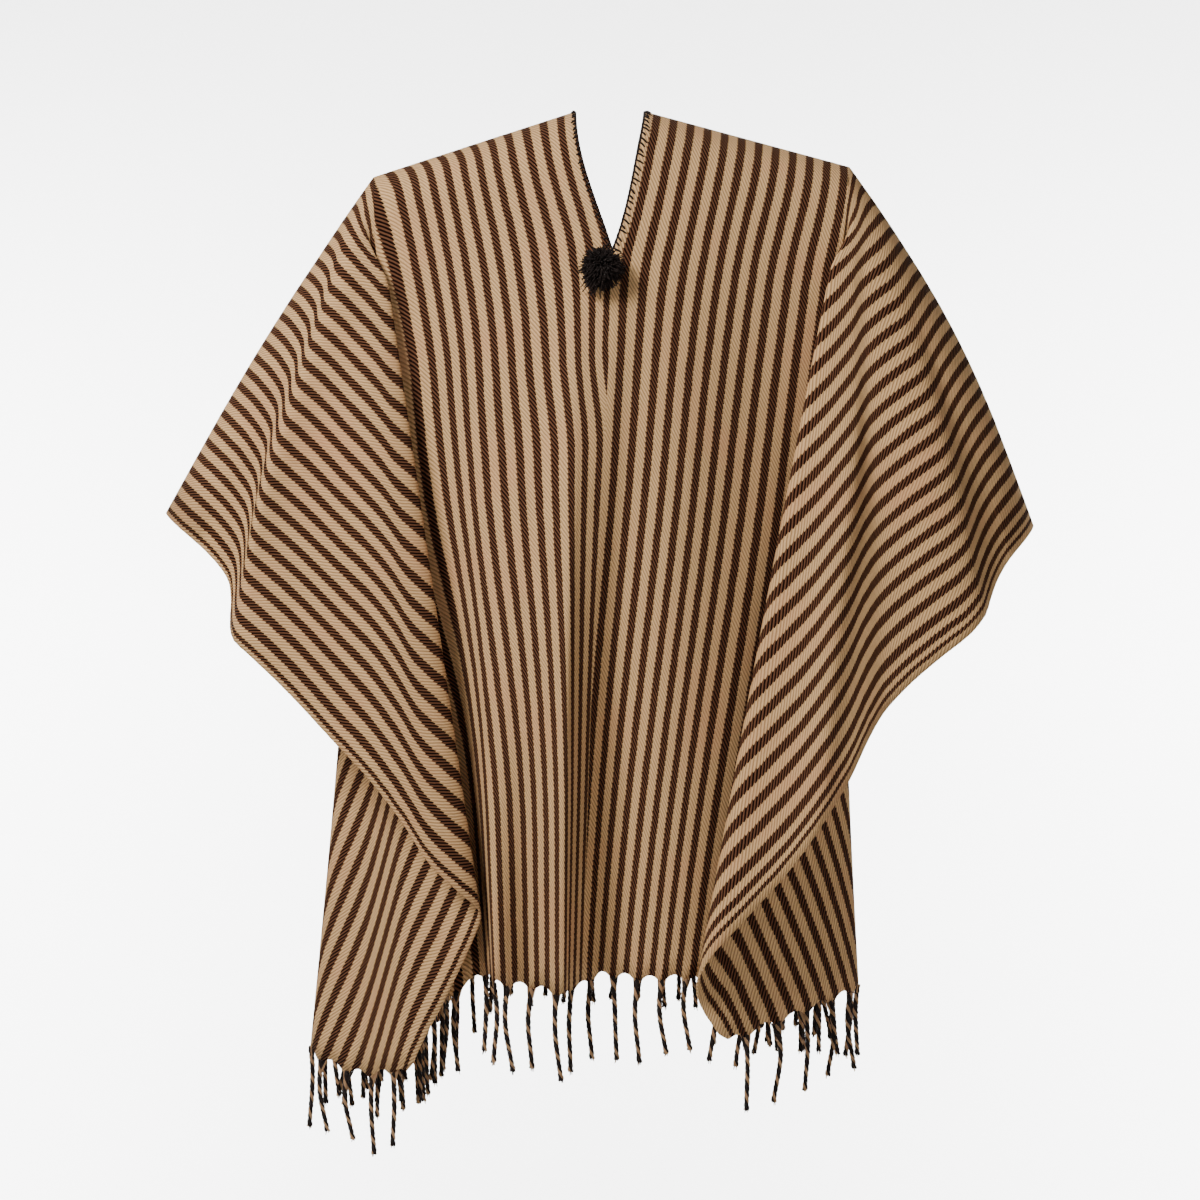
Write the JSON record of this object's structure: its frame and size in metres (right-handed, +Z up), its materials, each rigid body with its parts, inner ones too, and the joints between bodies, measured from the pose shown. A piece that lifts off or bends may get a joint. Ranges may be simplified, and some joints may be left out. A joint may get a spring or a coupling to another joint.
{
  "type": "wool poncho",
  "caption": "Striped woven wool poncho with an open neck slit, blanket-stitched edge, yarn pompom and twisted fringe at front and back hems, hanging in worn folds with open sides",
  "frame": {"origin": "On top of the shoulders, midway between the two edges of the neck slit, where the wearer holds the garment up", "axes": "+Z up, -Y to the front, +X to the viewer's right (the wearer's left)"},
  "size_m": [0.866, 0.3998, 1.0283],
  "materials": {
    "striped_cloth": "matt woven wool twill in dark brown and sand stripes",
    "fringe_yarn": "matt twisted wool yarn, brown and sand",
    "dark_yarn": "matt dark brown wool yarn"
  },
  "bodies": {
    "root": {"cloth_front": "striped_cloth", "cloth_back": "striped_cloth", "fringe_front": "fringe_yarn", "fringe_back": "fringe_yarn", "pompom": "dark_yarn"}
  },
  "joints": []
}
